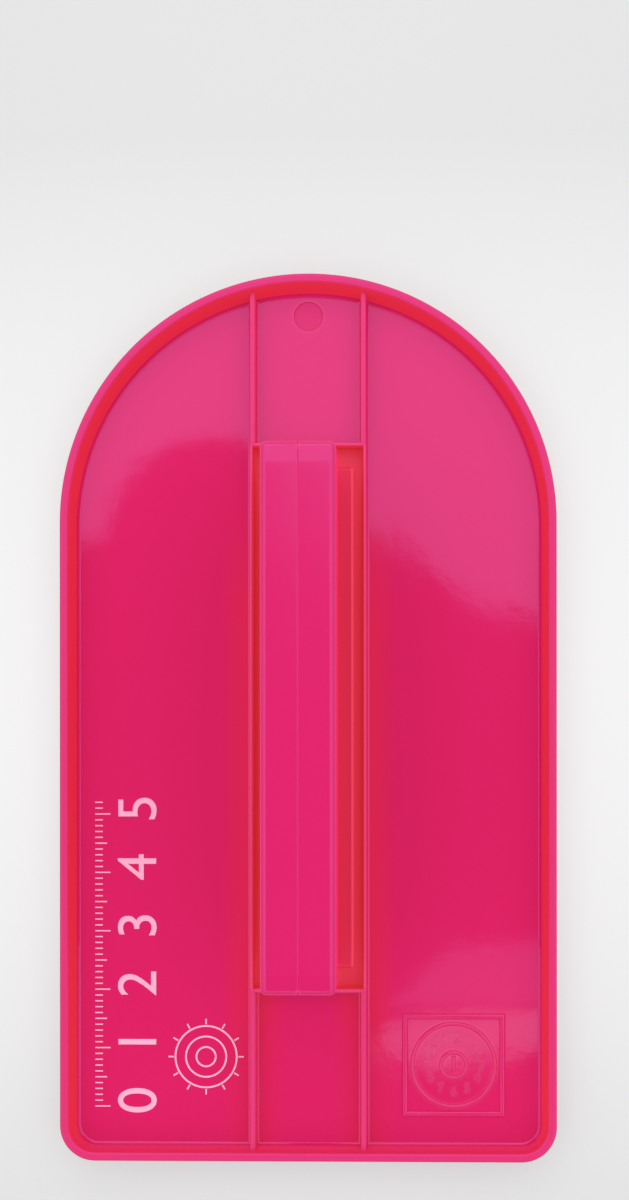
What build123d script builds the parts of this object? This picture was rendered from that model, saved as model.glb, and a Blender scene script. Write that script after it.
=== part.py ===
"""Icing smoother: a rimmed plate with one round end, and a hollow bar handle of two shells seated in its well.

Millimetres, +Z up, +Y towards the round end. The origin is on the sole, in the middle of the plate.
"""

import os
from math import sqrt

from build123d import *

# Plate and rim
plate_length = 150.0
plate_width = 84.0
rim_height = 7.5
sole_thickness = 2.2
rim_wall = 1.5
rim_outer_lean = 0.9
rim_inner_lean = 1.0
square_corner_radius = 6.0
sole_edge_radius = 1.2
floor_edge_radius = 0.9
rim_edge_break = 0.3

# Long ribs, cross ribs and the well that they leave round the handle's foot
rib_thickness = 0.95
rib_height = 3.5
rib_edge_break = 0.15
rib_root_radius = 0.5
cross_rib_thickness = 0.65
well_cutback = 0.4
well_side_gap = 1.65
well_end_gap = 3.375

# Round mark in the middle bay
mark_diameter = 5.1
mark_depth = 0.4
mark_from_tip = 6.5

# Lugs that stand inside the handle and carry it
lug_count = 3
lug_spacing_share = 0.327
lug_thickness = 2.4
lug_head_radius = 4.6
lug_base_length = 14.0
lug_base_height = 1.6
lug_root_radius = 0.6
peg_height_share = 0.5
peg_diameter = 4.2
peg_reach = 2.1
peg_lead = 0.4
peg_clearance = 0.1
lug_side_clearance = 0.1

# Handle: grip and foot
overall_height = 45.0
grip_top_width = 11.8
grip_length = 85.6
grip_waist_inset = 1.3
grip_waist_height = 16.0
grip_straight_depth = 9.0
grip_corner_radius = 1.0
grip_edge_radius = 1.0
grip_end_fall_length = 4.2
grip_end_fall = 0.4
foot_side_reach = 3.1
foot_end_inset = 0.2
foot_thickness = 0.9
foot_corner_radius = 0.5
foot_edge_radius = 0.3
foot_flare = 0.4

# Handle: shells and what is inside them
shell_wall = 1.6
boss_radius = 3.9
web_thickness = 1.2
web_clearance = 0.15
seam_lip_reach = 0.8
seam_lip_clearance = 0.08
seam_edge_break = 0.12

# Worked out from the sizes above
round_radius = plate_width / 2
round_centre = plate_length / 2 - round_radius
corner_centre_x = plate_width / 2 - square_corner_radius
corner_centre_y = square_corner_radius - plate_length / 2
grip_height = overall_height - sole_thickness
grip_shoulder_height = overall_height - grip_straight_depth
foot_width = grip_top_width - 2 * grip_waist_inset + 2 * foot_side_reach
foot_length = grip_length - 2 * foot_end_inset
rib_centre = foot_width / 2 + well_side_gap - well_cutback + rib_thickness / 2
rib_top = sole_thickness + rib_height
well_length = foot_length + 2 * well_end_gap
cross_rib_centre = (well_length + cross_rib_thickness) / 2
lug_spacing = lug_spacing_share * grip_length
peg_height = peg_height_share * overall_height
lug_places = [(place - (lug_count - 1) / 2) * lug_spacing for place in range(lug_count)]
peg_places = [(lug_place, peg_height) for lug_place in lug_places]
web_places = [(low + high) / 2 for low, high in zip(lug_places, lug_places[1:])]
boss_face = lug_thickness / 2 + lug_side_clearance
peg_radius = peg_diameter / 2


def rim_section(depth):
    """Section across the plate's edge, out to the rim from a cut at 0: sole, rim, floor and their roundings."""
    with BuildSketch() as section:
        with BuildLine():
            outline = FilletPolyline(
                (0, 0),
                (depth - rim_outer_lean, 0),
                (depth, rim_height - rim_edge_break),
                (depth - rim_edge_break, rim_height),
                (depth - rim_wall + rim_edge_break, rim_height),
                (depth - rim_wall, rim_height - rim_edge_break),
                (depth - rim_wall - rim_inner_lean, sole_thickness),
                (0, sole_thickness),
                radius=[sole_edge_radius, 0, 0, 0, 0, floor_edge_radius],
            )
            Line(outline @ 1, outline @ 0)
        make_face()
    return section.sketch


def grip_section(inset):
    """Waisted section across the grip, drawn in by an inset and open to the sole below."""
    top_half = grip_top_width / 2 - inset
    waist_half = top_half - grip_waist_inset
    middle = ((top_half + waist_half) / 2, (grip_shoulder_height + grip_waist_height) / 2)
    with BuildSketch() as section:
        with BuildLine():
            Line((0, overall_height - inset), (top_half, overall_height - inset))
            Line((top_half, overall_height - inset), (top_half, grip_shoulder_height))
            TangentArc((top_half, grip_shoulder_height), middle, tangent=(0, -1))
            TangentArc((waist_half, grip_waist_height), middle, tangent=(0, 1))
            Line((waist_half, grip_waist_height), (waist_half, sole_thickness))
            Line((waist_half, sole_thickness), (0, sole_thickness))
            mirror(about=Plane.YZ)
        make_face()
    return section.sketch


def grip_elevation(inset):
    """Long side of the grip: upright ends, and a top that falls away a little towards them."""
    end_half = grip_length / 2 - inset
    fall_start = end_half - grip_end_fall_length
    top = overall_height - inset
    end_top = top - grip_end_fall
    with BuildSketch() as elevation:
        with BuildLine():
            Line((0, top), (fall_start, top))
            TangentArc((fall_start, top), (end_half, end_top), tangent=(1, 0))
            Line((end_half, end_top), (end_half, sole_thickness))
            Line((end_half, sole_thickness), (0, sole_thickness))
            mirror(about=Plane.YZ)
        make_face()
    return elevation.sketch


def grip_bar(inset):
    """Waisted grip with sharp corners, drawn in all round by an inset."""
    with BuildPart() as bar:
        with BuildSketch(Plane.XZ):
            add(grip_section(inset))
        extrude(amount=grip_length, both=True)
        with BuildSketch(Plane.YZ):
            add(grip_elevation(inset))
        extrude(amount=grip_top_width, both=True, mode=Mode.INTERSECT)
    return bar.part


# Long ribs from rim to rim, thinner on the well's side, and the cross ribs that close the well
with BuildPart() as ribs:
    rib_round_end = round_centre + sqrt((round_radius - rim_wall) ** 2 - rib_centre**2)
    rib_square_end = rim_wall - plate_length / 2
    rib_middle = (rib_round_end + rib_square_end) / 2
    with BuildSketch(Plane.XY.offset(sole_thickness)):
        with Locations((-rib_centre, rib_middle), (rib_centre, rib_middle)):
            Rectangle(rib_thickness, rib_round_end - rib_square_end)
        Rectangle(2 * (rib_centre + well_cutback) - rib_thickness, well_length, mode=Mode.SUBTRACT)
        with Locations((0, cross_rib_centre), (0, -cross_rib_centre)):
            Rectangle(2 * rib_centre, cross_rib_thickness)
    extrude(amount=rib_height)
    chamfer(ribs.edges().group_by(Axis.Z)[-1], length=rib_edge_break)

# The tray: sole and rim in one moulding
with BuildPart() as base_tray:
    # Right half of the round end and of the straight side
    with BuildSketch(Plane.XZ.offset(-round_centre)) as side_section:
        add(rim_section(round_radius))
    revolve(axis=Axis((0, round_centre), (0, 0, 1)), revolution_arc=90)
    extrude(side_section.sketch, amount=round_centre - corner_centre_y)
    # Right corner and right half of the square end
    corner_centre = (corner_centre_x, corner_centre_y)
    with BuildSketch(Plane(corner_centre, x_dir=(1, 0, 0), z_dir=(0, -1, 0))):
        add(rim_section(square_corner_radius))
    revolve(axis=Axis(corner_centre, (0, 0, -1)), revolution_arc=90)
    with BuildSketch(Plane(corner_centre, x_dir=(0, -1, 0), z_dir=(-1, 0, 0))):
        add(rim_section(square_corner_radius))
    extrude(amount=corner_centre_x)
    mirror(about=Plane.YZ)

    # The ribs, with rounded roots on the floor
    add(ribs.part)
    floor_edges = base_tray.edges().filter_by(lambda edge: abs(edge.center().Z - sole_thickness) < rib_edge_break)
    rib_root_edges = floor_edges.filter_by(Axis.Y).filter_by(
        lambda edge: abs(edge.center().X) < rib_centre + rib_thickness
    ) + floor_edges.filter_by(Axis.X).filter_by(
        lambda edge: abs(edge.center().Y) < cross_rib_centre + cross_rib_thickness
    )
    fillet(rib_root_edges, radius=rib_root_radius)

    # Round mark
    with BuildSketch(Plane.XY.offset(sole_thickness)):
        with Locations((0, plate_length / 2 - mark_from_tip)):
            Circle(mark_diameter / 2)
    extrude(amount=-mark_depth, mode=Mode.SUBTRACT)

    # Lugs on the middle line, each with a hole for a peg
    for lug_place in lug_places:
        with BuildSketch(Plane.YZ):
            with Locations((lug_place, peg_height)):
                Circle(lug_head_radius)
            with Locations((lug_place, sole_thickness)):
                Rectangle(lug_base_length, lug_base_height, align=(Align.CENTER, Align.MIN))
            make_hull()
        extrude(amount=lug_thickness / 2, both=True)
    lug_root_edges = base_tray.edges().filter_by(
        lambda edge: abs(edge.center().Z - sole_thickness) < rib_edge_break
        and abs(edge.center().X) < lug_thickness
        and abs(edge.center().Y) < grip_length / 2
    )
    fillet(lug_root_edges, radius=lug_root_radius)
    with BuildSketch(Plane.YZ):
        with Locations(peg_places):
            Circle(peg_radius + peg_clearance)
    extrude(amount=lug_thickness, both=True, mode=Mode.SUBTRACT)
base_tray.part.label = "base_tray"

def leaves_grip(edge):
    """Whether an edge of the foot reaches out past the side of the grip."""
    return max(abs(corner.X) for corner in edge.vertices()) > grip_top_width / 2


# Solid grip and foot, before they are hollowed and halved
with BuildPart() as handle_block:
    add(grip_bar(0))
    corner_edges = handle_block.edges().filter_by(
        lambda edge: edge.bounding_box().size.Z > grip_corner_radius and abs(edge.center().X) > 0
    )
    fillet(corner_edges, radius=grip_corner_radius)
    top_faces = handle_block.faces().filter_by(
        lambda face: face.bounding_box().min.Z > overall_height - grip_edge_radius
    )
    top_edges = top_faces.edges().filter_by(
        lambda edge: len([face for face in top_faces if edge in face.edges()]) < 2
    )
    fillet(top_edges, radius=grip_edge_radius)
    with BuildSketch(Plane.XY.offset(sole_thickness)):
        RectangleRounded(foot_width, foot_length, foot_corner_radius)
    extrude(amount=foot_thickness)
    foot_edges = handle_block.faces().filter_by(Plane.XY).sort_by(Axis.Z)[1:3].edges()
    chamfer(foot_edges.filter_by(lambda edge: not leaves_grip(edge)), length=foot_flare)
    foot_edges = handle_block.faces().filter_by(Plane.XY).sort_by(Axis.Z)[1:3].edges()
    fillet(foot_edges.filter_by(leaves_grip), radius=foot_edge_radius)

# The same block with its hollow cut out
with BuildPart() as handle_body:
    add(handle_block.part)
    add(grip_bar(shell_wall), mode=Mode.SUBTRACT)


def seam_ring(outer_inset, inner_inset, reach):
    """Strip that follows the seam inside the shell's wall, on the left of the middle plane."""
    with BuildPart() as ring:
        add(grip_bar(outer_inset))
        add(grip_bar(inner_inset), mode=Mode.SUBTRACT)
        with BuildSketch(Plane.YZ):
            Rectangle(2 * grip_length, 2 * overall_height)
        extrude(amount=-reach, mode=Mode.INTERSECT)
    return ring.part


def break_seam_edges(shell):
    """Break the shell's outer edge along the seam, over the top and down both ends."""
    seam_edges = shell.edges().filter_by(
        lambda edge: abs(edge.center().X) < seam_edge_break / 2
        and edge.center().Z > rib_top
        and (
            edge.center().Z > overall_height - shell_wall / 2
            or abs(edge.center().Y) > grip_length / 2 - shell_wall / 2
        )
    )
    chamfer(seam_edges, length=seam_edge_break)


def shell_fittings(side):
    """Bosses that face the lugs, and webs across the hollow, for the shell on one side of the seam."""
    with BuildPart() as fittings:
        with BuildSketch(Plane.YZ.offset(side * boss_face)):
            with Locations(peg_places):
                Circle(boss_radius)
        extrude(amount=side * grip_top_width / 2)
        with BuildSketch(Plane.XY.offset(sole_thickness + web_clearance)):
            with Locations([(side * (web_clearance + grip_top_width / 2), place) for place in web_places]):
                Rectangle(grip_top_width, web_thickness)
        extrude(amount=grip_height)
        add(handle_block.part, mode=Mode.INTERSECT)
    return fittings.part


# Pegs that reach from the right shell's bosses through the lugs
with BuildPart() as pegs:
    with BuildSketch(Plane.YZ.offset(boss_face)):
        with Locations(peg_places):
            Circle(peg_radius)
    extrude(amount=-2 * boss_face - peg_reach)
    chamfer(pegs.edges().group_by(Axis.X)[0], length=peg_lead)

# Right shell: pegs and the seam's lip
with BuildPart() as handle_right_shell:
    add(handle_body.part)
    split(bisect_by=Plane.YZ, keep=Keep.TOP)
    break_seam_edges(handle_right_shell)
    add(shell_fittings(1))
    add(pegs.part)
    add(seam_ring(shell_wall / 2 + seam_lip_clearance, shell_wall, seam_lip_reach))
handle_right_shell.part.label = "handle_right_shell"

# Left shell: sockets for the pegs, and the rebate that takes the lip
with BuildPart() as handle_left_shell:
    add(handle_body.part)
    split(bisect_by=Plane.YZ, keep=Keep.BOTTOM)
    break_seam_edges(handle_left_shell)
    add(shell_fittings(-1))
    with BuildSketch(Plane.YZ.offset(-boss_face)):
        with Locations(peg_places):
            Circle(peg_radius + peg_clearance)
    extrude(amount=-peg_reach - peg_clearance, mode=Mode.SUBTRACT)
    add(
        seam_ring(shell_wall / 2, shell_wall + seam_lip_clearance, seam_lip_reach + seam_lip_clearance),
        mode=Mode.SUBTRACT,
    )
handle_left_shell.part.label = "handle_left_shell"

os.makedirs("parts", exist_ok=True)
export_step(base_tray.part, "parts/base_tray.step")
export_step(handle_left_shell.part, "parts/handle_left_shell.step")
export_step(handle_right_shell.part, "parts/handle_right_shell.step")
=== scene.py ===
from math import cos, hypot, pi, radians, sin

import bmesh
import bpy
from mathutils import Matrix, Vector


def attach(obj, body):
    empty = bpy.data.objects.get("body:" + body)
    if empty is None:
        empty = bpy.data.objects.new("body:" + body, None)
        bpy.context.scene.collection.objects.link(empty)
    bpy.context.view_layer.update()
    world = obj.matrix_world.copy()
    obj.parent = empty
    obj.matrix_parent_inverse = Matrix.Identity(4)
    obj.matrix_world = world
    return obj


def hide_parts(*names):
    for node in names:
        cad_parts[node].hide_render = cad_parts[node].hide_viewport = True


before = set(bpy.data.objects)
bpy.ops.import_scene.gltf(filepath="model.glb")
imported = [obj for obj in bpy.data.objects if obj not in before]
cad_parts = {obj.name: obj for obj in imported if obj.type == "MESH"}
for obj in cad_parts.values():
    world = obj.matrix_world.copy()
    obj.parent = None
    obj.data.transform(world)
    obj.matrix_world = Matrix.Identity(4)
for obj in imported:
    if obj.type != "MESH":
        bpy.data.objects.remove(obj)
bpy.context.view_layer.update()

# Lengths are in metres. A size in millimetres is multiplied by MM.
MM = 0.001

# The whole smoother
PLATE_LENGTH = 150 * MM
PLATE_WIDTH = 84 * MM
GRIP_TOP = 45 * MM

# Plate
SQUARE_CORNER_RADIUS = 6 * MM
RIM_HEIGHT = 7.5 * MM
RIM_TOP_WIDTH = 1.5 * MM
RIM_OUTER_LEAN = 0.9 * MM
RIM_INNER_LEAN = 1.0 * MM
RIM_OUTER_EDGE_RADIUS = 0.45 * MM
RIM_INNER_EDGE_RADIUS = 0.35 * MM
RIM_ROUNDING_LOSS = 0.05 * MM
SOLE_EDGE_RADIUS = 1.2 * MM
FLOOR = 2.2 * MM
FLOOR_EDGE_RADIUS = 0.5 * MM
FLOOR_SHIFT = 0.4 * MM

# Ribs, and the well between them round the handle's foot
RIB_HEIGHT = 3.5 * MM
RIB_CENTRE = 9.425 * MM
RIB_THICKNESS = 0.95 * MM
RIB_ROUND_END = 72.3 * MM
RIB_SQUARE_END = -73.4 * MM
RIB_ROOT_RADIUS = 0.5 * MM
RIB_ROOT_SHARE = 0.98
RIB_EDGE_RADIUS = 0.26 * MM
CROSS_RIB = 46.3 * MM
CROSS_RIB_THICKNESS = 0.65 * MM
WELL_CUTBACK = 0.4 * MM
CUTBACK_STEP = 0.1 * MM
SINK = 0.3 * MM

# Lugs inside the handle
LUG_SPACING = 27.99 * MM
LUG_PLACES = (-LUG_SPACING, 0.0, LUG_SPACING)
LUG_THICKNESS = 2.4 * MM
LUG_HEAD_RADIUS = 4.6 * MM
LUG_BASE_LENGTH = 14 * MM
LUG_BASE_HEIGHT = 1.6 * MM
PEG_HEIGHT = GRIP_TOP / 2
PEG_HOLE_RADIUS = 2.2 * MM

# Round mark in the middle bay
MARK_RADIUS = 2.55 * MM
MARK_DEPTH = 0.4 * MM
MARK_FROM_TIP = 6.5 * MM
MARK_CENTRE_Y = PLATE_LENGTH / 2 - MARK_FROM_TIP

# Moulded square frame, and the dial in it
FRAME_CENTRE = (24.7 * MM, -59.3 * MM)
FRAME_SIDE = 17.6 * MM
FRAME_BAND = 1.0 * MM
FRAME_HEIGHT = 0.4 * MM
FRAME_SHOULDER = 0.36 * MM
DIAL_RADIUS = 7.4 * MM
HUB_RADIUS = 2.5 * MM
DIAL_BAND = 0.7 * MM
DIAL_HEIGHT = 0.42 * MM
DIAL_SHOULDER = 0.28 * MM
HOURS = 12
HOUR_RADIUS = 4.6 * MM
HOUR_SIZE = 2.6 * MM
HOUR_SHOULDER = 0.07 * MM
POINTER_LENGTH = 2.6 * MM
POINTER_LEAD = 0.3 * MM

# Print: a scale with ticks and numbers, and a ringed gauge
INK_FILM = 0.04 * MM
SCALE_START = -66.5 * MM
SCALE_EDGE = -36.6 * MM
SCALE_TICKS = 53
WHOLE_TICK_EVERY = 10
HALF_TICK_EVERY = 5
TICK_SPACING = 1 * MM
TICK_THICKNESS = 0.22 * MM
WHOLE_TICK = 2.6 * MM
HALF_TICK = 2.0 * MM
SMALL_TICK = 1.3 * MM
SCALE_NUMBERS = 6
NUMBER_SIZE = 9.5 * MM
NUMBER_PLACE = -29.0 * MM
NUMBER_SPACING = WHOLE_TICK_EVERY * TICK_SPACING
NUMBER_LEAD = 1 * MM
GAUGE_CENTRE = (-17.6 * MM, -58 * MM)
GAUGE_RADII = (5.4 * MM, 3.6 * MM, 1.8 * MM)
GAUGE_LINE = 0.3 * MM
GAUGE_TICKS = 12
GAUGE_TICK_SIZE = (0.9 * MM, 0.26 * MM)
GAUGE_TICK_PLACE = 6.0 * MM

# Handle: which solid each half is made from
HANDLE_HALVES = {"grip_left_half": "handle_left_shell", "grip_right_half": "handle_right_shell"}
GRIP_HALF_LENGTH = 42.8 * MM
GRIP_FALL = 0.4 * MM
GRIP_ARC_START = 38.6 * MM
GRIP_ARC_RADIUS = 22.25 * MM
SLOPE_START = 39.6 * MM
SLOPE_ROUNDING = 0.15 * MM
SLOPE_DEPTH = 1.6 * MM
SEAM_BREAK = 0.12 * MM
SEAM_BREAK_MARGIN = 0.08 * MM
SEAM_DEPTH = 0.05 * MM

# Steps in the roundings, and how close two places are taken as one
ROUND_END_STEPS = 72
CORNER_STEPS = 16
SOLE_AND_FLOOR_STEPS = 6
RIM_EDGE_STEPS = 5
RIB_STEPS = 4
FRAME_STEPS = 4
DIAL_STEPS = 3
LUG_SIDES = 48
MARK_SIDES = 64
RING_SIDES = 72
NEAR = 0.02 * MM
OUTLINE_WELD = 0.01 * MM
WELD = 0.002 * MM
FLAT_ANGLE = 0.5
TRAY_SMOOTH_ANGLE = 34
GRIP_SMOOTH_ANGLE = 30

# Which way a face looks, by how much of its normal points up
LEANING = 0.05
NEARLY_LEVEL = 0.9
ROUNDED_OVER = 0.3

# Camera: its place in mm and its turn in degrees
CAMERA_X = 17.24
CAMERA_Y = 0.94
CAMERA_HEIGHT = 432
CAMERA_TURN = (0, 1.62, -0.03)
CAMERA_LENS = 75.52
CAMERA_SENSOR = 36
CAMERA_SHIFT = (-0.02, 0.0933)
CAMERA_RANGE = (0.01, 20)

# White paper that the plate lies on, with painted light in it: brightest just past the plate's middle
PAPER_SIZE = 6
PAPER_DROP = 0.02 * MM
PAPER_GREY = (0.16, 0.16, 0.16, 1)
PAPER_PAINTED_LIGHT = 0.6
PAPER_ROUGHNESS = 0.9
PAPER_BRIGHTEST_Y = 0.01
PAPER_FADE_REACH = 0.09
PAPER_FADE = 28
PAPER_SIDE_FADE_SHARE = 0.15
PAPER_LOWEST = 0.5

# Soft key light beyond the round end
KEY_PLACE = Vector((-0.12, 0.66, 0.95))
KEY_SIZE = (0.6, 0.4)
KEY_POWER = 1.0

# Sky: brighter overhead than at the horizon, and brighter towards the round end
HORIZON = 0.10
OVERHEAD = 0.90
HORIZON_LIGHT = 0.8
OVERHEAD_LIGHT = 2.42
ROUND_END_LIGHT = 0.3
DIM_LIGHT = 0.10
LOWEST_SLOPE = 0.02
MIRROR_REACH = 430.0

# Places on the plate's floor (mm) where the camera sees the dim opening's and the window's edges reflected
DIM_SHOULDERS = [(35.8, 12), (20.5, 25.1), (10.2, 33.6), (-9.3, 45.4), (-17, 48), (-24.5, 46.9),
                 (-32.7, 43.3), (-34.6, 37.5), (-34.6, 14)]
DIM_BODY = [(56, -240), (56, 8.6), (-29.9, 35.8), (-51.6, 26.9), (-60, 13), (-60, -240)]
DIM_SOFTNESS = 0.0035
WINDOW_PANE = [(13.2, -50.4), (44, -50.3), (44, -37), (26.5, -37.9), (21, -41)]
PANE_SOFTNESS = 0.003
PANE_LIGHT = 0.55
WINDOW_SILL = [(14.7, -58.5), (22.3, -61.1), (30.4, -60.2), (44, -55), (44, -51.4), (18, -52.6),
               (12, -55.4)]
SILL_SOFTNESS = 0.0025
SILL_LIGHT = 1.45
SILL_COLOUR = (1, 1, 0.7)
WINDOW_LIGHT = 0.9

# Waves, ripples, grain and scuffs of the moulded surface: noise scale and detail, and rise of the bump
WAVE_NOISE = (26, 1)
RIPPLE_NOISE = (130, 2)
GRAIN_NOISE = (1500, 3)
SCUFF_NOISE = (120, 5)
NOISE_MIDDLE = 0.5
WAVE_RISE = 1 * MM
RIPPLE_RISE = 0.05 * MM
GRAIN_RISE = 0.02 * MM

# How much duller than the open plastic the worn tops, the round mark and the sheltered places are,
# and the rise over which the wear comes in
WORN_DULLNESS = 0.35
WORN_RISE = 0.25 * MM
SPOT_DULLNESS = 0.45
DEEP_DULLNESS = 0.45
DULLEST = 0.9

# Where the plastic is upright, thin, walled in or sheltered: each pair is where a mask starts and is full.
# The masks place painted shade, painted glowing light and painted highlights
UPRIGHT_FACING = (0.9, 0.4)
THIN_OPENNESS = (0.88, 0.35)
THIN_REACH = 0.8 * MM
THIN_SAMPLES = 6
INNER_WALL_FOOT = (FLOOR + 0.45 * MM, FLOOR + 0.8 * MM)
ROUND_END_SHADE_SHARE = 0.7
HIGH_WALL = (9 * MM, 12 * MM)
WELL_DEPTH = (9 * MM, 3 * MM)
# Painted shade beside the long ribs: how strong, how far from the rib, and where along it
RIB_PAINTED_SHADE = 0.45
RIB_PAINTED_SHADE_REACH = (6.5 * MM, 1 * MM)
RIB_PAINTED_SHADE_START = (40 * MM, 15 * MM)
RIB_PAINTED_SHADE_END = (-45 * MM, -62 * MM)
RIB_PAINTED_SHADE_END_SHARE = 0.5
RIB_PAINTED_SHADE_HEIGHT = FLOOR + 0.3 * MM
SEAM_MARGIN = 0.85 * MM
SKIN = 0.05 * MM

# Colours: the plastic's own pink as lit, painted shade (redder) in deep and sheltered places, and painted
# light: emitted glowing all over, stronger in sheltered places and on walls
PLATE_PINK_AND_PAINTED_LIGHT = {
    "colour": (0.285, 0.0053, 0.052),
    "painted_shade_colour": (0.30, 0.0075, 0.016),
    "painted_glow": (0.262, 0.0048, 0.038),
    "painted_shade_glow": (0.37, 0.012, 0.014),
    "painted_wall_glow": (0.445, 0.013, 0.027),
}
# Painted highlights on edges and thin places, added as emitted light
PLATE_PAINTED_HIGHLIGHT = (0.14, 0.036, 0.046)
DIAL_PAINTED_HIGHLIGHT = (0.02, 0.008, 0.01)
GRIP_PINK_AND_PAINTED_LIGHT = {
    "colour": (0.291, 0.0053, 0.056),
    "painted_shade_colour": (0.298, 0.0065, 0.018),
    "painted_glow": (0.230, 0.0048, 0.040),
    "painted_shade_glow": (0.32, 0.003, 0.013),
    "painted_wall_glow": (0.33, 0.004, 0.045),
}
# Painted highlights on the handle's edges, added as emitted light
GRIP_PAINTED_HIGHLIGHT = (0.195, 0.037, 0.062)
INK_PINK = (0.60, 0.27, 0.36, 1)
SHEEN_TINT = (0.36, 0.41, 1.0, 1)
PLASTIC_IOR = 1.49

# Inputs of the moulded surface, with the value each one has where a finish gives none
SURFACE_INPUTS = {
    "Wave Height": 0.3,
    "Grain Height": 0.05,
    "Roughness": 0.1,
    "Scuff": 0.03,
    "Worn Height": 1.0,
    "Spot Radius": 0.0,
    "Seam Half Length": 0.0,
    "Bright Edge": 1.0,
}

# What each finish gives to the moulded surface
PLATE_SURFACE = {
    "Roughness": 0.035,
    "Wave Height": 0.15,
    "Worn Height": 5.3 * MM,
    "Spot Radius": MARK_RADIUS,
}
DIAL_SURFACE = {"Roughness": 0.035, "Wave Height": 0.15}
GRIP_SURFACE = {
    "Roughness": 0.12,
    "Wave Height": 0.2,
    "Seam Half Length": 41.9 * MM,
    # Past this distance from the middle, the foot's edge gets a painted highlight line
    "Bright Edge": 7.3 * MM,
}
INK_SURFACE = {"Roughness": 0.42, "Wave Height": 0.0}


# Nodes


class Board:
    """A node tree, with short ways to add the nodes that this script uses."""

    def __init__(self, tree):
        self.nodes = tree.nodes
        self.links = tree.links

    def feed(self, socket, value):
        """Link a socket to another node's output, or set it to a plain value."""
        if isinstance(value, bpy.types.NodeSocket):
            self.links.new(value, socket)
        else:
            socket.default_value = value

    def calc(self, operation, *values):
        node = self.nodes.new("ShaderNodeMath")
        node.operation = operation
        for socket, value in zip(node.inputs, values):
            self.feed(socket, value)
        return node.outputs[0]

    def all_of(self, first, *others):
        """Product of masks."""
        for other in others:
            first = self.calc("MULTIPLY", first, other)
        return first

    def step(self, value, low, high, start=0, end=1):
        """Rise smoothly from start to end while a value goes from low to high."""
        ramp = self.nodes.new("ShaderNodeMapRange")
        ramp.interpolation_type = "SMOOTHSTEP"
        for name, number in (("From Min", low), ("From Max", high), ("To Min", start), ("To Max", end)):
            ramp.inputs[name].default_value = number
        self.links.new(value, ramp.inputs["Value"])
        return ramp.outputs["Result"]

    def split(self, vector):
        """The X, Y and Z of a vector."""
        node = self.nodes.new("ShaderNodeSeparateXYZ")
        self.links.new(vector, node.inputs["Vector"])
        return tuple(node.outputs)

    def mix(self, first, second, share, blend="MIX"):
        """Blend two colours, each given as three numbers or as another node's output."""
        tint = self.nodes.new("ShaderNodeMix")
        tint.data_type = "RGBA"
        tint.blend_type = blend
        for name, colour in (("A", first), ("B", second)):
            self.feed(tint.inputs[name], (*colour, 1) if isinstance(colour, tuple) else colour)
        self.links.new(share, tint.inputs["Factor"])
        return tint.outputs["Result"]

    def noise(self, place, scale, detail):
        node = self.nodes.new("ShaderNodeTexNoise")
        node.inputs["Scale"].default_value = scale
        node.inputs["Detail"].default_value = detail
        self.links.new(place, node.inputs["Vector"])
        return node.outputs["Fac"]

    def bump(self, height, strength, rise, normal):
        """Raise the surface by a height, on top of an earlier bump's normal if there is one."""
        node = self.nodes.new("ShaderNodeBump")
        node.inputs["Distance"].default_value = rise
        self.links.new(strength, node.inputs["Strength"])
        self.links.new(height, node.inputs["Height"])
        if normal:
            self.links.new(normal, node.inputs["Normal"])
        return node.outputs["Normal"]


# Camera, paper and light


def new_object(name, data):
    thing = bpy.data.objects.new(name, data)
    bpy.context.scene.collection.objects.link(thing)
    return thing


def add_camera():
    camera_data = bpy.data.cameras.new("camera")
    camera_data.sensor_fit = "VERTICAL"
    camera_data.sensor_height = CAMERA_SENSOR
    camera_data.lens = CAMERA_LENS
    camera_data.shift_x, camera_data.shift_y = CAMERA_SHIFT
    camera_data.clip_start, camera_data.clip_end = CAMERA_RANGE
    camera = new_object("camera", camera_data)
    camera.location = (CAMERA_X * MM, CAMERA_Y * MM, CAMERA_HEIGHT * MM)
    camera.rotation_euler = [radians(angle) for angle in CAMERA_TURN]
    bpy.context.scene.camera = camera


def add_key_light():
    light_data = bpy.data.lights.new("key_softbox", "AREA")
    light_data.shape = "RECTANGLE"
    light_data.size, light_data.size_y = KEY_SIZE
    light_data.energy = KEY_POWER
    light = new_object("key_softbox", light_data)
    light.location = KEY_PLACE
    light.rotation_euler = (-KEY_PLACE).to_track_quat("-Z", "Y").to_euler()


def paper_material():
    """White paper with painted light: it glows, less and less away from the plate."""
    paper = bpy.data.materials.new("studio_paper")
    paper.use_nodes = True
    board = Board(paper.node_tree)
    shader = board.nodes["Principled BSDF"]
    x, y, _ = board.split(board.nodes.new("ShaderNodeTexCoord").outputs["Object"])
    past_brightest = board.calc("MINIMUM", board.calc("SUBTRACT", y, PAPER_BRIGHTEST_Y), PAPER_FADE_REACH)
    spread = board.calc("MULTIPLY", board.calc("POWER", x, 2), PAPER_SIDE_FADE_SHARE)
    spread = board.calc("ADD", board.calc("POWER", past_brightest, 2), spread)
    fade = board.calc("MULTIPLY_ADD", spread, -PAPER_FADE, 1)
    board.links.new(board.calc("MAXIMUM", fade, PAPER_LOWEST), shader.inputs["Emission Color"])
    shader.inputs["Base Color"].default_value = PAPER_GREY
    shader.inputs["Emission Strength"].default_value = PAPER_PAINTED_LIGHT
    shader.inputs["Roughness"].default_value = PAPER_ROUGHNESS
    return paper


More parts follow.
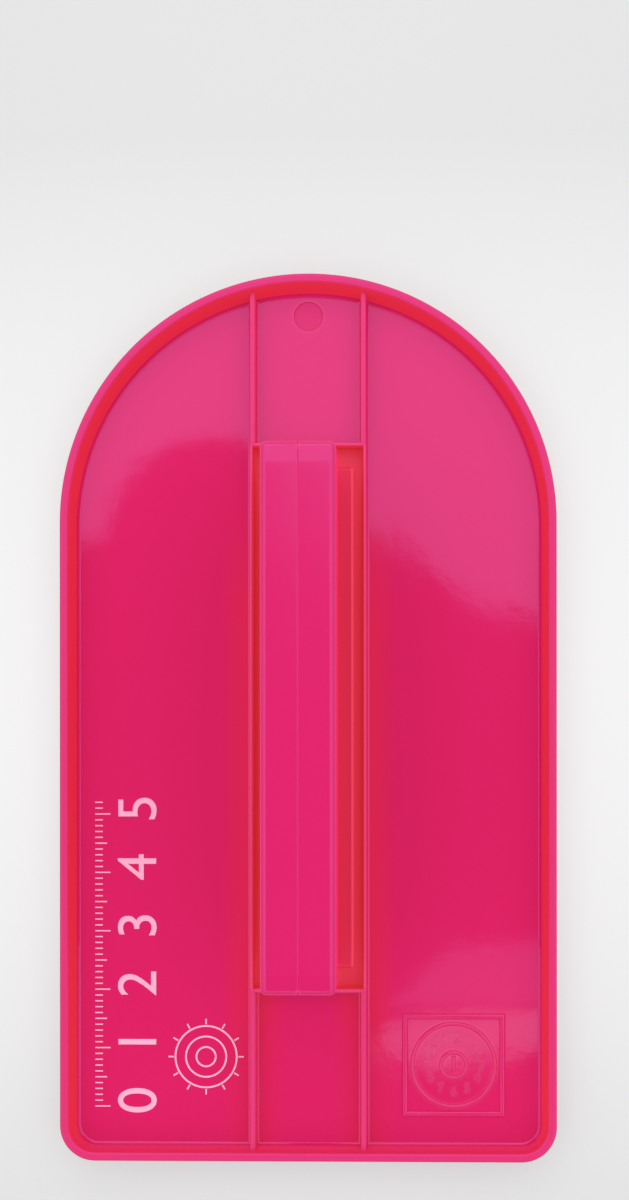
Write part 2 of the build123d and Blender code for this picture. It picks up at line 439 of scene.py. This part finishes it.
def mirrored_patch(board, across, along, corners, softness):
    """Mask of a convex patch of sky, from the corners (anticlockwise) where the floor mirrors it."""
    corners = [((x - CAMERA_X) / MIRROR_REACH, (y - CAMERA_Y) / MIRROR_REACH) for x, y in corners]
    inside = None
    for (x1, y1), (x2, y2) in zip(corners, corners[1:] + corners[:1]):
        length = hypot(x2 - x1, y2 - y1)
        slope_x = (y1 - y2) / length
        slope_y = (x2 - x1) / length
        offset = board.calc("MULTIPLY_ADD", along, slope_y, -slope_x * x1 - slope_y * y1)
        distance = board.calc("MULTIPLY_ADD", across, slope_x, offset)
        inside = distance if inside is None else board.calc("MINIMUM", inside, distance)
    return board.step(inside, -softness, softness)


def add_sky():
    """Soft white light from all round, with a dim opening overhead and a window seen through it."""
    world = bpy.data.worlds.new("studio_air")
    world.use_nodes = True
    board = Board(world.node_tree)
    background = board.nodes["Background"]
    x, y, z = board.split(board.nodes.new("ShaderNodeTexCoord").outputs["Generated"])
    height = board.calc("MAXIMUM", z, LOWEST_SLOPE)
    across = board.calc("DIVIDE", x, height)
    along = board.calc("DIVIDE", y, height)
    dim = board.calc("MAXIMUM", mirrored_patch(board, across, along, DIM_SHOULDERS, DIM_SOFTNESS),
                     mirrored_patch(board, across, along, DIM_BODY, DIM_SOFTNESS))
    pane = mirrored_patch(board, across, along, WINDOW_PANE, PANE_SOFTNESS)
    sill = mirrored_patch(board, across, along, WINDOW_SILL, SILL_SOFTNESS)
    window = board.calc("MAXIMUM", board.calc("MULTIPLY", pane, PANE_LIGHT),
                        board.calc("MULTIPLY", sill, SILL_LIGHT))
    wall = board.step(z, HORIZON, OVERHEAD, HORIZON_LIGHT, OVERHEAD_LIGHT)
    bias = board.calc("MULTIPLY_ADD", y, ROUND_END_LIGHT, 1)
    opening = board.calc("MULTIPLY_ADD", window, WINDOW_LIGHT, DIM_LIGHT)
    cover = board.calc("MULTIPLY_ADD", board.calc("SUBTRACT", opening, 1), dim, 1)
    board.links.new(board.mix((1, 1, 1), SILL_COLOUR, sill), background.inputs["Color"])
    board.links.new(board.all_of(wall, bias, cover), background.inputs["Strength"])
    bpy.context.scene.world = world


def add_studio():
    bpy.ops.mesh.primitive_plane_add(size=PAPER_SIZE, location=(0, 0, -PAPER_DROP))
    floor = bpy.context.object
    floor.name = "studio_floor"
    floor.data.materials.append(paper_material())
    add_sky()
    add_key_light()


# Shaping helpers


def deselect():
    if bpy.context.object and bpy.context.object.mode != "OBJECT":
        bpy.ops.object.mode_set(mode="OBJECT")
    bpy.ops.object.select_all(action="DESELECT")


def take(*pieces):
    """Select some pieces and nothing else, with the last one active."""
    deselect()
    for piece in pieces:
        piece.select_set(True)
        bpy.context.view_layer.objects.active = piece


def start_edit(piece):
    take(piece)
    bpy.ops.object.mode_set(mode="EDIT")


def end_edit():
    bpy.ops.object.mode_set(mode="OBJECT")


def pick_all():
    bpy.ops.mesh.select_all(action="SELECT")


def pick(piece, kind, test):
    """In edit mode, select the vertices, edges or faces of a piece that pass a test."""
    mesh = bmesh.from_edit_mesh(piece.data)
    bpy.ops.mesh.select_mode(type=kind)
    for element in list(mesh.faces) + list(mesh.edges) + list(mesh.verts):
        element.select = False
    for element in {"VERT": mesh.verts, "EDGE": mesh.edges, "FACE": mesh.faces}[kind]:
        if test(element):
            element.select = True
    mesh.select_flush_mode()
    bmesh.update_edit_mesh(piece.data)


def point_outwards():
    pick_all()
    bpy.ops.mesh.normals_make_consistent(inside=False)


def weld(distance):
    pick_all()
    bpy.ops.mesh.remove_doubles(threshold=distance)


def cut_through(place, direction):
    """Add edges all round a piece where a plane meets it."""
    pick_all()
    bpy.ops.mesh.bisect(plane_co=place, plane_no=direction)


def round_edges(radius, steps):
    bpy.ops.mesh.bevel(offset=radius, segments=steps, affect="EDGES")


def near(a, b, margin=NEAR):
    return abs(a - b) < margin


def level(element, height):
    return all(near(vertex.co.z, height) for vertex in element.verts)


def lengthwise(edge):
    return near(edge.verts[0].co.x, edge.verts[1].co.x)


def at_shoulder(edge, height):
    """Whether an edge at some height lies between a flat top and an upright side."""
    return level(edge, height) and len({round(face.normal.z) for face in edge.link_faces}) == 2


def cut_or_join(piece, tool, operation):
    modifier = piece.modifiers.new("fit", "BOOLEAN")
    modifier.operation = operation
    modifier.solver = "MANIFOLD"
    modifier.object = tool
    take(piece)
    bpy.ops.object.modifier_apply(modifier="fit")
    bpy.data.objects.remove(tool)


def settle(piece):
    """Put a piece's place into its mesh."""
    take(piece)
    bpy.ops.object.transform_apply(location=True, rotation=True, scale=True)


def smooth(piece, angle):
    """Shade a piece smooth, with its large faces kept flat."""
    take(piece)
    bpy.ops.object.shade_smooth_by_angle(angle=radians(angle))
    modifier = piece.modifiers.new("weight", "WEIGHTED_NORMAL")
    modifier.mode = "FACE_AREA"
    modifier.keep_sharp = True
    bpy.ops.object.modifier_apply(modifier="weight")


def join_pieces(name, pieces):
    take(*reversed(pieces))
    bpy.ops.object.join()
    joined = bpy.context.object
    joined.name = name
    return joined


def block(size, place):
    bpy.ops.mesh.primitive_cube_add(size=1, location=place)
    piece = bpy.context.object
    piece.scale = size
    settle(piece)
    return piece


def cylinder(radius, depth, place, sides, tilt=0):
    bpy.ops.mesh.primitive_cylinder_add(vertices=sides, radius=radius, depth=depth, location=place,
                                        rotation=(0, tilt, 0))
    piece = bpy.context.object
    settle(piece)
    return piece


def raise_band(width, rise):
    """In edit mode, turn a flat outline into a band of some width and raise it to a closed ring."""
    pick_all()
    bpy.ops.mesh.inset(thickness=width, depth=0)
    bpy.ops.mesh.delete(type="FACE")
    pick_all()
    bpy.ops.mesh.extrude_region_move(TRANSFORM_OT_translate={"value": (0, 0, rise)})
    point_outwards()


# The tray


def is_outer_rim_edge(edge):
    """Whether an edge is where the rim's top meets its outer side, which leans in below it."""
    return level(edge, RIM_HEIGHT) and any(face.normal.z < -LEANING for face in edge.link_faces)


def is_inner_rim_edge(edge):
    """Whether an edge is where the rim's top meets its inner side, and not one of the outer rounding."""
    faces = edge.link_faces
    below_top = [face for face in faces if not level(face, RIM_HEIGHT)]
    meets_top = len(below_top) < len(faces)
    meets_side = any(LEANING < face.normal.z < NEARLY_LEVEL for face in faces)
    meets_rounding = any(len(face.verts) == 4 and face.normal.z > ROUNDED_OVER for face in below_top)
    return level(edge, RIM_HEIGHT) and meets_top and meets_side and not meets_rounding


def tray_shell():
    """Sole, rim and floor: an outline with one round end, inset down to the sole and in to the floor."""
    bpy.ops.mesh.primitive_plane_add(size=1, location=(0, 0, RIM_HEIGHT))
    tray = bpy.context.object
    tray.name = "smoother_tray"
    tray.scale = (PLATE_WIDTH + 2 * RIM_ROUNDING_LOSS, PLATE_LENGTH + 2 * RIM_ROUNDING_LOSS, 1)
    settle(tray)
    start_edit(tray)
    round_radius = PLATE_WIDTH / 2 + RIM_ROUNDING_LOSS
    pick(tray, "VERT", lambda v: v.co.y > 0)
    bpy.ops.mesh.bevel(offset=round_radius, segments=ROUND_END_STEPS, affect="VERTICES",
                       clamp_overlap=False)
    pick(tray, "VERT", lambda v: v.co.y < -PLATE_LENGTH / 2)
    bpy.ops.mesh.bevel(offset=SQUARE_CORNER_RADIUS, segments=CORNER_STEPS, affect="VERTICES")
    weld(OUTLINE_WELD)
    pick_all()
    bpy.ops.mesh.inset(thickness=RIM_OUTER_LEAN, depth=-RIM_HEIGHT)
    pick(tray, "EDGE", lambda e: e.is_boundary)
    bpy.ops.mesh.edge_face_add()
    point_outwards()
    pick(tray, "FACE", lambda f: level(f, RIM_HEIGHT))
    bpy.ops.mesh.inset(thickness=RIM_TOP_WIDTH, depth=0)
    bpy.ops.mesh.inset(thickness=RIM_INNER_LEAN, depth=FLOOR - RIM_HEIGHT)
    bpy.ops.transform.translate(value=(0, -FLOOR_SHIFT, 0))
    pick(tray, "EDGE", lambda e: level(e, 0))
    round_edges(SOLE_EDGE_RADIUS, SOLE_AND_FLOOR_STEPS)
    pick(tray, "EDGE", lambda e: level(e, FLOOR))
    round_edges(FLOOR_EDGE_RADIUS, SOLE_AND_FLOOR_STEPS)
    pick(tray, "EDGE", is_outer_rim_edge)
    round_edges(RIM_OUTER_EDGE_RADIUS, RIM_EDGE_STEPS)
    pick(tray, "EDGE", is_inner_rim_edge)
    round_edges(RIM_INNER_EDGE_RADIUS, RIM_EDGE_STEPS)
    end_edit()
    return tray


def rib(thickness, length, place, turn=0):
    """A rib with a flared root and rounded top edges, its foot sunk a little into the floor."""
    flare = thickness / 2 + RIB_ROOT_RADIUS
    bar = block((2 * flare, length, SINK), (0, 0, -SINK / 2))
    start_edit(bar)
    for side in (-1, 1):
        cut_through((side * thickness / 2, 0, 0), (1, 0, 0))
    pick(bar, "FACE", lambda f: level(f, 0) and near(f.calc_center_median().x, 0))
    bpy.ops.mesh.extrude_region_move(TRANSFORM_OT_translate={"value": (0, 0, RIB_HEIGHT)})
    pick(bar, "EDGE", lambda e: level(e, 0) and lengthwise(e)
         and all(near(abs(v.co.x), thickness / 2) for v in e.verts))
    round_edges(RIB_ROOT_RADIUS * RIB_ROOT_SHARE, RIB_STEPS)
    pick(bar, "EDGE", lambda e: level(e, RIB_HEIGHT) and lengthwise(e))
    round_edges(RIB_EDGE_RADIUS, RIB_STEPS)
    point_outwards()
    end_edit()
    bar.rotation_euler = (0, 0, turn)
    bar.location = place
    settle(bar)
    return bar


def thin_in_well(bar, side):
    """Make a long rib thinner on the well's side, between the cross ribs."""
    start_edit(bar)
    for end in (CROSS_RIB, -CROSS_RIB):
        for step in (-CUTBACK_STEP, CUTBACK_STEP):
            cut_through((0, end + step, 0), (0, 1, 0))
    pick(bar, "VERT", lambda v: abs(v.co.y) < CROSS_RIB and side * v.co.x < RIB_CENTRE)
    bpy.ops.transform.translate(value=(side * WELL_CUTBACK, 0, 0))
    end_edit()


def lug(place):
    """An upright lug with a round head, a long base sunk into the floor, and a hole for a peg."""
    head = cylinder(LUG_HEAD_RADIUS, LUG_THICKNESS, (0, place, PEG_HEIGHT), LUG_SIDES, pi / 2)
    base = block((LUG_THICKNESS, LUG_BASE_LENGTH, LUG_BASE_HEIGHT + SINK),
                 (0, place, FLOOR + (LUG_BASE_HEIGHT - SINK) / 2))
    body = join_pieces("lug", [head, base])
    start_edit(body)
    pick_all()
    bpy.ops.mesh.convex_hull()
    end_edit()
    hole = cylinder(PEG_HOLE_RADIUS, 3 * LUG_THICKNESS, (0, place, PEG_HEIGHT), LUG_SIDES, pi / 2)
    cut_or_join(body, hole, "DIFFERENCE")
    return body


def square_frame():
    """The low moulded square frame: a flat band with rounded shoulders."""
    bpy.ops.mesh.primitive_plane_add(size=FRAME_SIDE, location=(*FRAME_CENTRE, FLOOR - SINK))
    band = bpy.context.object
    settle(band)
    start_edit(band)
    raise_band(FRAME_BAND, SINK + FRAME_HEIGHT)
    pick(band, "EDGE", lambda e: at_shoulder(e, FLOOR + FRAME_HEIGHT))
    round_edges(FRAME_SHOULDER, FRAME_STEPS)
    end_edit()
    return band


def build_tray():
    tray = tray_shell()
    rib_length = RIB_ROUND_END - RIB_SQUARE_END
    rib_middle = (RIB_ROUND_END + RIB_SQUARE_END) / 2
    for side in (-1, 1):
        bar = rib(RIB_THICKNESS, rib_length, (side * RIB_CENTRE, rib_middle, FLOOR))
        thin_in_well(bar, side)
        cut_or_join(tray, bar, "UNION")
    for place in (CROSS_RIB, -CROSS_RIB):
        cut_or_join(tray, rib(CROSS_RIB_THICKNESS, 2 * RIB_CENTRE, (0, place, FLOOR), pi / 2), "UNION")
    for place in LUG_PLACES:
        cut_or_join(tray, lug(place), "UNION")
    cut_or_join(tray, square_frame(), "UNION")
    mark = cylinder(MARK_RADIUS, 2 * MARK_DEPTH, (0, MARK_CENTRE_Y, FLOOR), MARK_SIDES)
    cut_or_join(tray, mark, "DIFFERENCE")
    start_edit(tray)
    weld(WELD)
    end_edit()
    smooth(tray, TRAY_SMOOTH_ANGLE)
    return tray


# The handle


def build_grip_half(name, node):
    """One half of the grip, from its solid: welded, given plain end slopes, and shaded smooth."""
    half = new_object(name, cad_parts[node].data.copy())
    half.data.materials.clear()
    start_edit(half)
    weld(WELD)
    pick_all()
    bpy.ops.mesh.dissolve_limited(angle_limit=radians(FLAT_ANGLE))
    for side in (-1, 1):
        for place in (SLOPE_START - SLOPE_ROUNDING, SLOPE_START, SLOPE_START + SLOPE_ROUNDING):
            cut_through((0, side * place, 0), (0, 1, 0))
    mesh = bmesh.from_edit_mesh(half.data)
    for vertex in mesh.verts:
        past_arc = max(0, abs(vertex.co.y) - GRIP_ARC_START)
        past_slope = max(0, abs(vertex.co.y) - SLOPE_START)
        slope_fall = past_slope * GRIP_FALL / (GRIP_HALF_LENGTH - SLOPE_START)
        if vertex.co.z > GRIP_TOP - SLOPE_DEPTH:
            vertex.co.z += past_arc ** 2 / (2 * GRIP_ARC_RADIUS) - slope_fall
        top = GRIP_TOP - slope_fall
        if near(vertex.co.x, 0) and near(vertex.co.z, top - SEAM_BREAK, SEAM_BREAK_MARGIN):
            vertex.co.z = top - SEAM_DEPTH
    bmesh.update_edit_mesh(half.data)
    end_edit()
    smooth(half, GRIP_SMOOTH_ANGLE)
    return half


# Dial and print


def numeral(number, size, place, turn, height, depth, shoulder=0):
    """A number as a flat solid, some depth high, with its middle at a height."""
    curve = bpy.data.curves.new("numeral", "FONT")
    curve.body = str(number)
    curve.size = size
    curve.align_x = "CENTER"
    curve.align_y = "CENTER"
    curve.extrude = depth / 2 - shoulder
    curve.bevel_depth = shoulder
    curve.bevel_resolution = 1
    curve.offset = -shoulder / 2
    take(new_object("numeral", curve))
    bpy.ops.object.convert(target="MESH")
    piece = bpy.context.object
    piece.location = (*place, height)
    piece.rotation_euler = (0, 0, turn)
    settle(piece)
    return piece


def ring(radius, width, height, depth, place, shoulder=0):
    """A flat ring, some depth high, with its middle at a height."""
    bpy.ops.mesh.primitive_circle_add(vertices=RING_SIDES, radius=radius, fill_type="NGON",
                                      location=(*place, height - depth / 2))
    piece = bpy.context.object
    settle(piece)
    start_edit(piece)
    raise_band(width, depth)
    if shoulder:
        pick(piece, "EDGE", lambda e: at_shoulder(e, height + depth / 2))
        round_edges(shoulder, DIAL_STEPS)
    end_edit()
    return piece


def dial_pointer(depth):
    x, y = FRAME_CENTRE
    pointer = block((DIAL_BAND, POINTER_LENGTH, depth), (x, y + POINTER_LEAD, FLOOR))
    start_edit(pointer)
    pick(pointer, "EDGE", lambda e: level(e, FLOOR + DIAL_HEIGHT))
    round_edges(DIAL_SHOULDER, DIAL_STEPS)
    end_edit()
    return pointer


def build_dial():
    """A plain moulded dial inside the square frame: two rings, twelve numbers and a pointer."""
    depth = 2 * DIAL_HEIGHT
    pieces = [ring(radius, DIAL_BAND, FLOOR, depth, FRAME_CENTRE, DIAL_SHOULDER)
              for radius in (DIAL_RADIUS, HUB_RADIUS)]
    for hour in range(1, HOURS + 1):
        angle = pi / 2 - hour * 2 * pi / HOURS
        place = (FRAME_CENTRE[0] + HOUR_RADIUS * cos(angle), FRAME_CENTRE[1] + HOUR_RADIUS * sin(angle))
        pieces.append(numeral(hour, HOUR_SIZE, place, 0, FLOOR, depth, HOUR_SHOULDER))
    pieces.append(dial_pointer(depth))
    dial = join_pieces("moulded_dial", pieces)
    smooth(dial, TRAY_SMOOTH_ANGLE)
    return dial


def tick_length(tick):
    if tick % WHOLE_TICK_EVERY == 0:
        return WHOLE_TICK
    return HALF_TICK if tick % HALF_TICK_EVERY == 0 else SMALL_TICK


def gauge_tick(turn, height):
    """A short stroke outside the gauge's rings, turned about its centre."""
    mark = block((*GAUGE_TICK_SIZE, INK_FILM), (GAUGE_TICK_PLACE, 0, height))
    mark.rotation_euler = (0, 0, turn)
    settle(mark)
    mark.location = (*GAUGE_CENTRE, 0)
    settle(mark)
    return mark


def build_print():
    """The print in the left bay: a plain scale with ticks and numbers, and a ring with ticks."""
    height = FLOOR + INK_FILM / 2
    pieces = []
    for tick in range(SCALE_TICKS):
        length = tick_length(tick)
        place = (SCALE_EDGE + length / 2, SCALE_START + tick * TICK_SPACING, height)
        pieces.append(block((length, TICK_THICKNESS, INK_FILM), place))
    for number in range(SCALE_NUMBERS):
        place = (NUMBER_PLACE, SCALE_START + number * NUMBER_SPACING + NUMBER_LEAD)
        pieces.append(numeral(number, NUMBER_SIZE, place, pi / 2, height, INK_FILM))
    for radius in GAUGE_RADII:
        pieces.append(ring(radius, GAUGE_LINE, height, INK_FILM, GAUGE_CENTRE))
    for tick in range(GAUGE_TICKS):
        pieces.append(gauge_tick(tick * 2 * pi / GAUGE_TICKS, height))
    return join_pieces("printed_scale", pieces)


# Materials


def surface_sockets(group):
    """The inputs and outputs of the moulded surface."""
    for name, value in SURFACE_INPUTS.items():
        socket = group.interface.new_socket(name=name, in_out="INPUT", socket_type="NodeSocketFloat")
        socket.default_value = value
    group.interface.new_socket(name="Normal", in_out="OUTPUT", socket_type="NodeSocketVector")
    for name in ("Roughness", "Depth", "Painted Wall Light", "Painted Highlight"):
        group.interface.new_socket(name=name, in_out="OUTPUT", socket_type="NodeSocketFloat")


def openness_inside(board):
    """How open the plastic is under the surface: low at edges and in thin places."""
    node = board.nodes.new("ShaderNodeAmbientOcclusion")
    node.inputs["Distance"].default_value = THIN_REACH
    node.inside = True
    node.samples = THIN_SAMPLES
    return node.outputs["AO"]


def well_mask(board, from_middle, from_centre, z):
    """The well between the ribs and all that stands low in it."""
    well_edge = RIB_CENTRE - RIB_THICKNESS / 2 + WELL_CUTBACK + SKIN
    well_end = CROSS_RIB - CROSS_RIB_THICKNESS / 2 + SKIN
    return board.all_of(board.calc("LESS_THAN", from_middle, well_edge),
                        board.calc("LESS_THAN", from_centre, well_end), board.step(z, *WELL_DEPTH))


def beside_rib_mask(board, from_middle, y, z):
    """Where the floor along the long ribs gets painted shade, less towards the square end and not at the
    round end.
    """
    from_rib = board.calc("ABSOLUTE", board.calc("SUBTRACT", from_middle, RIB_CENTRE))
    square_end = board.calc("MULTIPLY_ADD", board.step(y, *RIB_PAINTED_SHADE_END), -RIB_PAINTED_SHADE_END_SHARE, 1)
    return board.all_of(board.step(from_rib, *RIB_PAINTED_SHADE_REACH), board.step(y, *RIB_PAINTED_SHADE_START), square_end,
                        board.calc("LESS_THAN", z, RIB_PAINTED_SHADE_HEIGHT), RIB_PAINTED_SHADE)


def surface_group():
    """Shared surface of moulded plastic: waves, grain, scuffs, dull tops, and masks of where it is deep,
    walled or thin, which place painted shade, painted glowing light and painted highlights.
    """
    group = bpy.data.node_groups.new("moulded_surface", "ShaderNodeTree")
    surface_sockets(group)
    board = Board(group)
    calc, step, all_of = board.calc, board.step, board.all_of
    given = board.nodes.new("NodeGroupInput").outputs
    result = board.nodes.new("NodeGroupOutput").inputs
    coordinates = board.nodes.new("ShaderNodeTexCoord").outputs
    x, y, z = board.split(coordinates["Object"])
    facing_x, facing_y, facing_z = board.split(coordinates["Normal"])
    from_middle = calc("ABSOLUTE", x)
    from_centre = calc("ABSOLUTE", y)
    upright = step(calc("ABSOLUTE", facing_z), *UPRIGHT_FACING)

    # Waves, ripples and grain raise the surface, one on top of the other
    normal = None
    for noise, strength, rise in ((WAVE_NOISE, "Wave Height", WAVE_RISE),
                                  (RIPPLE_NOISE, "Wave Height", RIPPLE_RISE),
                                  (GRAIN_NOISE, "Grain Height", GRAIN_RISE)):
        normal = board.bump(board.noise(coordinates["Object"], *noise), given[strength], rise, normal)
    board.links.new(normal, result["Normal"])

    # Painted highlights on thin places and edges, but not on the seam along the handle's middle, and a
    # painted highlight line past the Bright Edge distance
    off_seam = calc("MAXIMUM", calc("GREATER_THAN", from_middle, SEAM_MARGIN),
                    calc("GREATER_THAN", from_centre, given["Seam Half Length"]))
    thin = all_of(step(openness_inside(board), *THIN_OPENNESS), calc("SUBTRACT", 1, upright), off_seam)
    bright_edge = calc("GREATER_THAN", from_middle, given["Bright Edge"])
    board.links.new(calc("MAXIMUM", thin, bright_edge), result["Painted Highlight"])

    # Walls that look inwards, less those that face the round end, and the handle's sides: they get painted
    # glowing light
    inwards = calc("ADD", calc("MULTIPLY", x, facing_x), calc("MULTIPLY", y, facing_y))
    inner_wall = all_of(upright, calc("LESS_THAN", inwards, 0),
                        calc("MULTIPLY_ADD", calc("MAXIMUM", facing_y, 0), -ROUND_END_SHADE_SHARE, 1),
                        step(z, *INNER_WALL_FOOT), off_seam)
    high_wall = all_of(upright, step(z, *HIGH_WALL))
    board.links.new(calc("MAXIMUM", inner_wall, high_wall), result["Painted Wall Light"])

    # Deep and sheltered places, which get painted shade (redder) and painted glowing light
    deep = calc("MAXIMUM", inner_wall, well_mask(board, from_middle, from_centre, z))
    board.links.new(calc("MAXIMUM", deep, beside_rib_mask(board, from_middle, y, z)), result["Depth"])

    # Roughness: scuffs everywhere, then the worn tops, the round mark and the deep places
    scuff = calc("SUBTRACT", board.noise(coordinates["Object"], *SCUFF_NOISE), NOISE_MIDDLE)
    rough = calc("MULTIPLY_ADD", scuff, given["Scuff"], given["Roughness"])
    worn = calc("MULTIPLY", calc("SUBTRACT", z, given["Worn Height"]), 1 / WORN_RISE)
    worn = calc("MINIMUM", calc("MAXIMUM", worn, 0), 1)
    from_mark = calc("ADD", calc("POWER", x, 2), calc("POWER", calc("SUBTRACT", y, MARK_CENTRE_Y), 2))
    spot = calc("LESS_THAN", calc("SQRT", from_mark), given["Spot Radius"])
    for mask, dullness in ((worn, WORN_DULLNESS), (spot, SPOT_DULLNESS), (deep, DEEP_DULLNESS)):
        rough = calc("MULTIPLY_ADD", mask, dullness, rough)
    board.links.new(calc("MINIMUM", rough, DULLEST), result["Roughness"])
    return group


def finish(name, group, surface_values):
    """A new material with the shared surface in it, its shader, and that surface's node."""
    material = bpy.data.materials.new(name)
    material.use_nodes = True
    board = Board(material.node_tree)
    shader = board.nodes["Principled BSDF"]
    surface = board.nodes.new("ShaderNodeGroup")
    surface.node_tree = group
    for socket, value in surface_values.items():
        surface.inputs[socket].default_value = value
    for socket in ("Roughness", "Normal"):
        board.links.new(surface.outputs[socket], shader.inputs[socket])
    shader.inputs["IOR"].default_value = PLASTIC_IOR
    shader.inputs["Specular Tint"].default_value = SHEEN_TINT
    return material, shader, surface


def plastic(name, group, surface_values, painted_highlight, colour, painted_shade_colour, painted_glow, painted_shade_glow, painted_wall_glow):
    """Glossy plastic with painted light: it shines with emitted light all over, is redder as painted shade
    in shelter, and paler with painted highlights where thin.
    """
    material, shader, surface = finish(name, group, surface_values)
    board = Board(material.node_tree)
    masks = surface.outputs
    # Painted light: emitted glowing all over, more in sheltered places and on walls
    painted_glow = board.mix(board.mix(painted_glow, painted_shade_glow, masks["Depth"]), painted_wall_glow, masks["Painted Wall Light"])
    # Painted shade: a redder base colour in deep and sheltered places
    board.links.new(board.mix(colour, painted_shade_colour, masks["Depth"]), shader.inputs["Base Color"])
    # Painted highlights: more emitted light on edges and thin places
    board.links.new(board.mix(painted_glow, painted_highlight, masks["Painted Highlight"], "ADD"), shader.inputs["Emission Color"])
    shader.inputs["Emission Strength"].default_value = 1
    return material


def printed_ink(name, group, surface_values):
    """Dull pale ink."""
    material, shader, _ = finish(name, group, surface_values)
    shader.inputs["Base Color"].default_value = INK_PINK
    return material


def dress(piece, material):
    piece.data.materials.clear()
    piece.data.materials.append(material)
    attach(piece, "root")


# Everything together

bpy.context.scene.view_settings.view_transform = "Standard"
add_camera()
add_studio()

group = surface_group()
pink = plastic("hot_pink_plastic", group, PLATE_SURFACE, PLATE_PAINTED_HIGHLIGHT, **PLATE_PINK_AND_PAINTED_LIGHT)
dial_pink = plastic("hot_pink_dial_plastic", group, DIAL_SURFACE, DIAL_PAINTED_HIGHLIGHT, **PLATE_PINK_AND_PAINTED_LIGHT)
grip_pink = plastic("hot_pink_grip_plastic", group, GRIP_SURFACE, GRIP_PAINTED_HIGHLIGHT, **GRIP_PINK_AND_PAINTED_LIGHT)
ink = printed_ink("pale_pink_ink", group, INK_SURFACE)

tray = build_tray()
dress(tray, pink)
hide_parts("base_tray")

dial = build_dial()
dress(dial, dial_pink)

scale = build_print()
dress(scale, ink)

for half_name, node_name in HANDLE_HALVES.items():
    grip_half = build_grip_half(half_name, node_name)
    dress(grip_half, grip_pink)
    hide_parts(node_name)

deselect()
